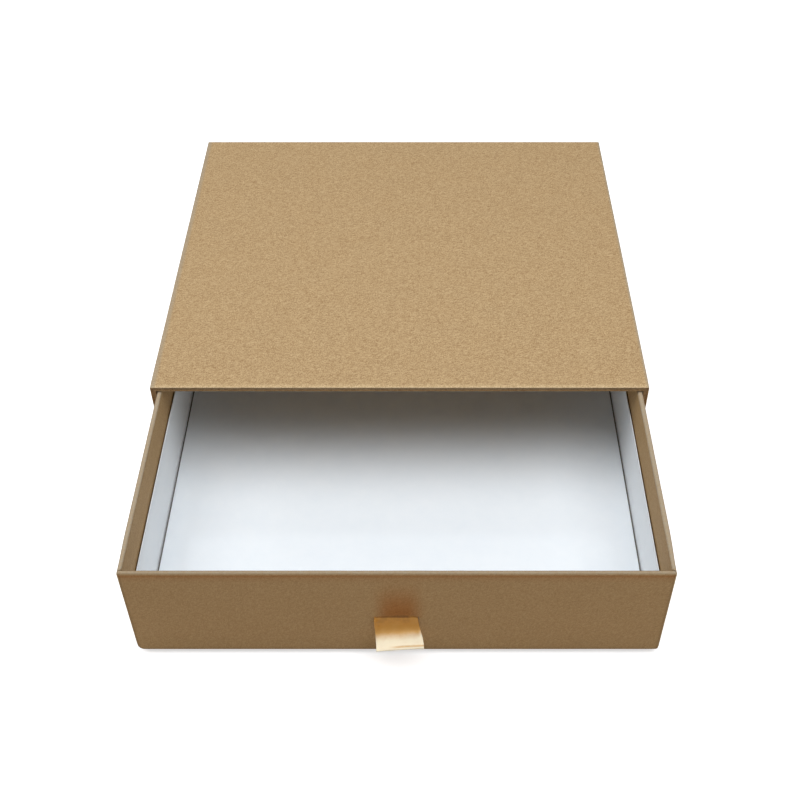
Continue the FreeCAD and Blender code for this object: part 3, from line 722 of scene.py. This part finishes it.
def makeDrawerWrap():
    d = drawerWrap
    x0, y0, z0, x1, y1, z1 = spanOf("drawer_outer_wrap")
    r, f, w, tall = d["edge"], d["footEdge"], d["rim"], z1 - z0
    slitLeft, slitRight, slitLow, slitHigh = d["slit"]
    foot = z0 + f

    def uprights(withSlit):
        extra = [*d["footMarks"]]
        if withSlit:
            extra += [slitLow - foot, *[slitHigh - foot + mark for mark in d["slitMarks"]]]
        under = d["underBase"] - f
        return stopsOf([spread(under, step=4.0, extra=[under - mark for mark in d["footMarks"]]), bend,
                        spread(tall - r - f, extra=extra), bend,
                        spread(w - 2 * r, step=0.2, near=(0.2,)), bend, spread(d["band"] - r, step=2.5)])

    def marks(co):
        fromEnd, inset = min(co.y - y0, y1 - co.y), x1 - abs(co.x)
        onEnd = fromEnd < w + 0.2 < inset + 2.0
        depth = min(fromEnd, inset)
        rim = smooth(co.z, z1 - 0.4, z1 + 0.1) * d["rubbedShadedEnds" if onEnd else "rubbedSides"]
        innerFold = smooth(depth, w - 0.7, w - 0.2) * smooth(co.z, z1 - 0.9, z1 - 0.4)
        # painted shade along the rim's inner fold
        grime = 0.4 * innerFold
        if onEnd:
            # the end rims: painted shade on their top, darkest along their inner side
            innerSide = smooth(depth, w - 1.0, w - 0.5) * smooth(co.z, z1 - 0.9, z1 - 0.4)
            grime = 0.35 * rim + 1.1 * innerSide
            rim *= 1 - 0.7 * innerSide
        paste = 0.0
        if depth < 0.3:  # the outer faces: painted shade under the rim's roll, along their vertical edges and towards the foot
            paste = 0.65 * smooth(z1 - 0.5 - co.z, 0, 0.7) * (1 - smooth(z1 - 1.9 - co.z, 0, 1.6))
            footShade = smooth(z0 + 2.4 - co.z, 0, 2.0)
            grime += 0.55 * smooth(1.7 - max(inset, fromEnd), 0, 1.0) + 0.35 * footShade
        # warm painted shade above the slit, where the ribbon keeps light off the panel; the slit's own
        # pasted share sets its strength
        if co.y < y0 + 1:
            paste = max(paste, d["pasted"] * aboveSlit(co, d["slitShadeReach"]))
        if depth > w - 0.1:  # inside: painted shade in the gap behind the lining's edge
            grime += 1.2 * smooth(lining["top"] + 0.2 - co.z, 0, 0.8)
        return 0.1, rim, paintedLightOf(paste=paste, grime=grime)

    def shape(co, normal):
        deepIn = d["wander"] * (0.5 + 0.5 * wave(co, 34.0, 2.0)) + d["ripple"] * (1 + wave(co, 6.0, 4.0))
        rimNear = smooth(co.z, z1 - 2.2, z1 - 0.4)
        deepIn += d["rimWander"] * rimNear * (0.5 + 0.5 * wave(co, 8.0, 9.0)) * 0.6
        fromEnd, inset = min(co.y - y0, y1 - co.y), x1 - abs(co.x)
        if inset < 0.05:  # the hidden ears lift the side paper
            deepIn += d["earLift"] * smooth(fromEnd, d["ear"], d["ear"] + 1.6)
        if inset < w:
            puff = d["puffLeft"] if co.x < 0 else d["puffRight"]
            loose = smooth(fromEnd, 1.5, 22.0) * smooth(co.z, z1 - 18.0, z1 - 3.0)
            puff *= loose * (1 - smooth(inset, 0.1, w - 0.2))
            co.x += math.copysign(puff, co.x)
        co = co - normal * deepIn
        co.z -= d["rimDip"] * rimNear * (0.5 + 0.5 * wave(co, 16.0, 7.0))
        if abs(co.x) < x1 - 0.05 and co.z < z1 - 0.3:
            inwards = 1 if co.y < 0.5 * (y0 + y1) else -1
            neck = smooth(z1 - 0.5 - co.z, 0, 1.7) * (1 - smooth(z1 - 2.2 - co.z, 0, 9.0))
            co.y += inwards * d["neck"] * neck * smooth(0.5 - fromEnd, 0, 0.4)
        if co.y < y0 + 0.5:
            bump = math.exp(-((co.x - 3.0) / 3.2) ** 2)
            co.y += d["dent"] * aboveSlit(co, d["dentReach"])
            co.z += d["lipLift"] * bump * aboveSlit(co, d["lipReach"])
        return footCorner(co, x0, y0, z0, x1)

    def endSheet(front):  # the front or back panel, with ears round the corners under the sides
        edgeY, inward = (y0, 1) if front else (y1, -1)
        tuck = d["paper"]
        left = x0 + tuck
        length = x1 - x0 - 2 * tuck - 2 * r
        extra = [*d["footMarks"], *[length - mark for mark in d["footMarks"]]]
        if front:
            extra += [slitLeft - left - r, slitRight - left - r]
        across = stopsOf([spread(d["ear"] - r, step=4.0), bend, spread(length, extra=extra), bend,
                          spread(d["ear"] - r, step=4.0)])

        def place(u, v):
            inset, z = wallProfile(v, z0, z1)
            k, t = partOf(u, 5)
            if k in (0, 4):
                back = d["ear"] - (t if k == 0 else 1 - t) * (d["ear"] - r)
                x, h = left + inset, back
                x = x if k == 0 else -x
            elif k == 2:
                x, h = left + r + t * length, inset
            else:
                a = math.radians((180 if k == 1 else 270) + 90 * t)
                reach = max(r - inset, 0.0)
                x = (left + r if k == 1 else -left - r) + reach * math.cos(a)
                h = r + reach * math.sin(a)
            return x, edgeY + inward * h, z

        def kept(u, v):
            k = partOf(u, 5)[0]
            f = partOf(v, 7)[0]
            x, _, z = place(u, v)
            if k in (0, 4):
                return f == 2
            if k in (1, 3):
                return f in (1, 2, 3)
            if f == 6 and abs(x) > x1 - w:
                return False
            return not (front and f == 2 and slitLeft < x < slitRight and slitLow < z < slitHigh)

        return foldSheet(across, uprights(front), place, kept, shape, (0, -inward, 0), marks)

    def sideSheet(side):  # -1 for left, 1 for right; its ends lie over the ears
        start, length = y0 + r, y1 - y0 - 2 * r
        tuckEnd = w - 0.35 - r
        extra = (tuckEnd, length - tuckEnd, w - r, length - w + r, *d["footMarks"])
        across = stopsOf([spread(length, extra=extra)])

        def place(u, v):
            inset, z = wallProfile(v, z0, z1)
            return side * (x1 - inset), start + min(u, 1.0) * length, z

        def kept(u, v):
            f = partOf(v, 7)[0]
            fromEnd = min(u, 1 - u) * length
            return f <= 3 or (f in (4, 5) and fromEnd > tuckEnd) or fromEnd > w - r

        return foldSheet(across, uprights(False), place, kept, shape, (side, 0, 0), marks)

    def baseSheet():
        wide, deep = x1 - x0 - 2 * f, y1 - y0 - 2 * f
        extra = (*d["footMarks"], *[wide - mark for mark in d["footMarks"]])
        across = stopsOf([spread(wide, step=8.0, extra=extra)])
        along = stopsOf([spread(deep, step=8.0, extra=d["footMarks"])])

        def place(u, v):
            return x0 + f + u * wide, y0 + f + v * deep, z0

        return foldSheet(across, along, place, lambda u, v: True, shape, (0, 0, -1), marks)

    sheets = [endSheet(True), endSheet(False), sideSheet(-1), sideSheet(1), baseSheet()]
    wrap = makePiece("drawerWrap", sheets, d["paper"], "kraft_paper", "drawer", ["drawer_outer_wrap"])
    wrap.data.materials[0] = drawerKraft

    def cornersAt(gap):
        near = d["cornerCuts"]
        return {0: [x0 + gap + mark for mark in near] + [x1 - gap - mark for mark in near],
                1: [y0 + gap + mark for mark in near], 2: [z0 + gap + mark for mark in near]}

    def under(gap):  # keeps a spot this far inside the crushed corners
        return lambda co: footCorner(co, x0 + gap, y0 + gap, z0 + gap, x1 - gap)

    underBoards = under(d["boardsIn"])

    def frontBoardMove(co):
        outerShare = max(0.0, (y0 + w - 0.2 - co.y) / (w - 0.5))
        co.y += d["dent"] * aboveSlit(co, d["dentReach"]) * outerShare
        if abs(co.z - d["boardSlit"]) < 0.3 and abs(co.x) < 9.6:
            co.z -= d["boardSlitWorn"]
        return underBoards(co)

    fittedCopy("drawer_base_board", cornersAt(d["boardsIn"]), underBoards)
    fittedCopy("drawer_corner_stays", cornersAt(d["staysIn"]), under(d["staysIn"]))
    cuts = cornersAt(d["boardsIn"])
    cuts[0] += d["boardSlitCuts"][0]
    cuts[2] += [slitHigh + mark for mark in d["boardSlitCuts"][1]]
    fittedCopy("drawer_front_board", cuts, frontBoardMove)


makeDrawerWrap()
print("drawer wrapped")


def makeLinings():
    foot = spanOf("drawer_left_lining")[2]

    def panel(node, start, end, inward):
        run = Vector(end) - Vector(start)
        across = stopsOf([spread(run.length)])
        along = stopsOf([spread(lining["top"] - foot, near=(0.4, 1.0, 2.0))])

        def place(u, v):
            at = Vector(start) + run * min(u, 1.0) + Vector(inward) * lining["over"]
            return at.x, at.y, foot + min(v, 1.0) * (lining["top"] - foot)

        def shape(co, normal):
            co = co - normal * 0.05 * (0.5 + 0.5 * wave(co, 26.0, 11.0))
            co = co + normal * lining["lean"] * smooth(co.z, lining["top"] - 8, lining["top"])
            nearTop = smooth(co.z, lining["top"] - 3, lining["top"])
            co.z += lining["topWander"] * wave(co, 11.0, 6.0) * nearTop
            if node == "drawer_front_lining":
                tail = smooth(9.6 - abs(co.x), 0, 0.8) * smooth(co.z, 11.4, 12.2)
                co = co + normal * lining["embossed"] * tail
            return co

        sheet = foldSheet(across, along, place, lambda u, v: True, shape, inward, plainMarks)
        piece = node.replace("drawer_", "").replace("_lining", "Lining")
        makePiece(piece, [sheet], lining["paper"], "white_paper", "drawer", [node])

    x, (front, back) = lining["wallX"], lining["wallY"]
    nearFront, nearBack = front + lining["shortSides"], back - lining["shortSides"]
    half = x - lining["shortEnds"]
    panel("drawer_left_lining", (-x, nearFront, 0), (-x, nearBack, 0), (1, 0, 0))
    panel("drawer_right_lining", (x, nearFront, 0), (x, nearBack, 0), (-1, 0, 0))
    panel("drawer_front_lining", (-half, front, 0), (half, front, 0), (0, 1, 0))
    panel("drawer_back_lining", (-half, back, 0), (half, back, 0), (0, -1, 0))


makeLinings()
print("linings pasted")


floorCard = {"thick": 1.0, "bow": 0.10, "edge": 0.12}  # mm


def makeFloorCard():
    x0, y0, _, x1, y1, z1 = spanOf("drawer_floor_card")

    def place(u, v):
        return x0 + u * (x1 - x0), y0 + v * (y1 - y0), z1

    def shape(co, normal):
        return co - Vector((0, 0, floorCard["bow"] * (0.5 + 0.5 * wave(co, 45.0, 12.0))))

    sheet = foldSheet(stopsOf([spread(x1 - x0, step=4.0)]), stopsOf([spread(y1 - y0, step=4.0)]), place,
                      lambda u, v: True, shape, (0, 0, 1), plainMarks)
    piece = makePiece("floorCard", [sheet], floorCard["thick"] - floorCard["bow"], "white_card", "drawer",
                      ["drawer_floor_card"])
    # the card's cut edges take the dark grey painted shade
    piece.data.materials.append(cardEdgeShade)
    for face in piece.data.polygons:
        face.material_index = int(abs(face.normal.z) < 0.5)
    edge = piece.modifiers.new("edge", "BEVEL")
    edge.width, edge.segments = floorCard["edge"] * mm, 2
    edge.limit_method, edge.angle_limit = "ANGLE", math.radians(60)


makeFloorCard()
print("floor card laid")


ribbon = {
    "thick": 0.22,           # mm
    "neckWidth": 17.6, "endWidth": 19.0,
    "neckMiddle": -0.65, "endMiddle": 1.0,    # mm along X: the loop leans to the right
    "slitHeight": 25.9, "start": -197.6,      # mm: where it lies level inside the slit
    "knee": (0.35, 1.45),    # mm along the ribbon from its start: it bends down here, inside the slit
    "easing": (3.0, 10.6),   # and here it levels out again
    "length": 14.7,
    "rootDrop": 71.0, "tipDrop": 16.0,        # degrees below level
    "gapNeck": 0.45, "gapEndLeft": 0.55, "gapEndRight": 1.15,
    "leftDroop": 1.75, "lift": 0.8,           # the loop's left corner hangs lowest, and the right one is up
    "wander": 0.07,          # mm, how unevenly the two layers lie
    "crease": (0.6, 0.16),   # mm from the end, and how deep
    "curl": 0.8,             # the left edge is curled up next to the slit
    "paintedSheenRise": (3.2, 9.4), "paintedEndHighlight": (7.4, 11.8),   # painted sheen rises along here, then a painted highlight at the end
    "rows": 44, "columns": 30,
}


ribbonTails = {
    "width": 17.6, "reach": 13.6,    # mm: across, and up or down the board
    "inSlit": ((-198.1, 0.22), (-197.9, 0.25), (-197.75, 0.3)),  # mm: y, and how far above or below the slit
    "turn": (-197.45, 25.95), "turnRadius": 0.25,    # mm: y and z round which each end turns away
    "face": -197.40,                 # mm: y where they lie glued on the board
    "rows": 8, "columns": 12,
}


def loopLine(reach):  # a spot on the loop's middle line: y, z and the slope there, this far along it
    r = ribbon
    y, z, slope, step = r["start"], r["slitHeight"], 0.0, 0.05
    for k in range(round(reach / step)):
        at = k * step
        slope = math.radians(r["rootDrop"] * smooth(at, *r["knee"])
                             - (r["rootDrop"] - r["tipDrop"]) * smooth(at, *r["easing"]))
        y, z = y - step * math.cos(slope), z - step * math.sin(slope)
    return y, z, slope


def quads(rows, columns, first=0):  # the faces of a grid whose spots are numbered row by row
    spots = [first + row * (columns + 1) + column for row in range(rows - 1) for column in range(columns)]
    return [(k, k + 1, k + columns + 2, k + columns + 1) for k in spots]


def makeRibbonPull():
    r = ribbon
    count, wide = r["rows"], r["columns"]
    rows = [(r["length"] * k / count, 1.0) for k in range(count + 1)]  # the upper layer, out to the fold
    rows += [(r["length"], math.cos(math.radians(a))) for a in range(20, 180, 20)]
    rows += [(r["length"] * (1 - k / count), -1.0) for k in range(count + 1)]  # the lower layer, back inside
    verts, pressed = [], []
    for at, side in rows:
        share = smooth(at / r["length"], 0.1, 1.0)
        y, z, slope = loopLine(at)
        width = r["neckWidth"] + (r["endWidth"] - r["neckWidth"]) * share
        middle = r["neckMiddle"] + (r["endMiddle"] - r["neckMiddle"]) * share
        for c in range(wide + 1):
            q = c / wide  # 0 at the left edge, 1 at the right
            gapEnd = r["gapEndLeft"] + (r["gapEndRight"] - r["gapEndLeft"]) * q
            half = (r["gapNeck"] + (gapEnd - r["gapNeck"]) * share ** 2) / 2
            uneven = noise.noise(Vector((q * 5, at * 0.35, side))) * smooth(at, 2, 4)
            off = half * side + r["wander"] * uneven
            curled = smooth(at, 2.0, 3.0) * (1 - smooth(at, 5.5, 8.0))
            off += r["curl"] * smooth(0.14 - q, 0, 0.14) * curled
            fromCrease = (r["length"] - at - r["crease"][0] - 0.25 * (1 - q)) / 0.35
            if side > 0.5:
                off -= r["crease"][1] * math.exp(-fromCrease ** 2) * smooth(q, 0.3, 0.55)
            fold = half * math.sqrt(max(0.0, 1 - side * side)) * 0.9
            further = fold + 0.35 * (1 - q) * share
            droop = (r["leftDroop"] * (1 - q) ** 1.5 - r["lift"]) * share
            verts.append((middle + (q - 0.5) * width,
                          y - math.sin(slope) * off - math.cos(slope) * further,
                          z + math.cos(slope) * off - math.sin(slope) * further - droop))
            # painted light: painted shade in the slit, painted sheen rising to a painted highlight at the
            # end, painted shade beside the curl and in the crease, a painted highlight along the right edge
            paintedLightShare = 0.15 * smooth(at, 1.15, 1.7) + 0.35 * smooth(at, *r["paintedSheenRise"])
            paintedLightShare += 0.5 * smooth(at, *r["paintedEndHighlight"])
            paintedLightShare *= 1 - 0.35 * curled * math.exp(-((q - 0.08) / 0.05) ** 2)
            rightEdgeHighlight = smooth(q, 0.94, 0.98) * smooth(at, 6.0, 8.0) * (1 - smooth(at, 10.0, 12.0))
            crease = math.exp(-fromCrease ** 2) * smooth(q, 0.25, 0.5) if side > 0.5 else 0.0
            pressed.append(paintedLightShare + 0.2 * rightEdgeHighlight - 0.45 * crease)
    mesh = bpy.data.meshes.new("loop")
    mesh.from_pydata(verts, [], quads(len(rows), wide))
    mesh.attributes.new("pressed", "FLOAT", "POINT").data.foreach_set("value", pressed)
    piece = makeCloth("ribbonPull", mesh)
    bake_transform(piece)
    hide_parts("ribbon_pull")
    print("ribbon's end, in mm:", [round(value, 2) for value in loopLine(r["length"])[:2]])


def makeCloth(name, mesh):
    mesh.transform(Matrix.Scale(mm, 4))
    piece = bpy.data.objects.new(name, mesh)
    bpy.context.scene.collection.objects.link(piece)
    shell = piece.modifiers.new("thickness", "SOLIDIFY")
    shell.thickness, shell.offset = ribbon["thick"] * mm, 0
    finer = piece.modifiers.new("finer", "SUBSURF")
    finer.levels = finer.render_levels = 1
    applyModifiers(piece)
    piece.data.name = name
    piece.data.shade_smooth()
    piece.data.materials.clear()
    piece.data.materials.append(materials["satin_ribbon"])
    return piece


def makeRibbonTails():
    # from just inside the slit: one end glued up the board's inner face, the other down
    t, level = ribbonTails, ribbon["slitHeight"]
    count, wide, radius = t["rows"], t["columns"], t["turnRadius"]
    verts, faces = [], []
    for sign in (1, -1):
        line = [(y, level + apart * sign) for y, apart in t["inSlit"]]
        for a in (math.radians(30), math.radians(60), math.radians(90)):
            z = t["turn"][1] + sign * (0.35 + radius * math.sin(a))
            line.append((t["turn"][0] - radius * math.cos(a), z))
        line += [(t["face"], level + sign * (0.9 + t["reach"] * k / count)) for k in range(count + 1)]
        faces += quads(len(line), wide, len(verts))
        for y, z in line:
            verts += [(-t["width"] / 2 + t["width"] * c / wide, y, z) for c in range(wide + 1)]
    mesh = bpy.data.meshes.new("tails")
    mesh.from_pydata(verts, [], faces)
    piece = makeCloth("ribbonTails", mesh)
    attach(piece, "drawer")
    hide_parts("ribbon_tails")


makeRibbonPull()
makeRibbonTails()
print("ribbon made")

bpy.context.view_layer.update()
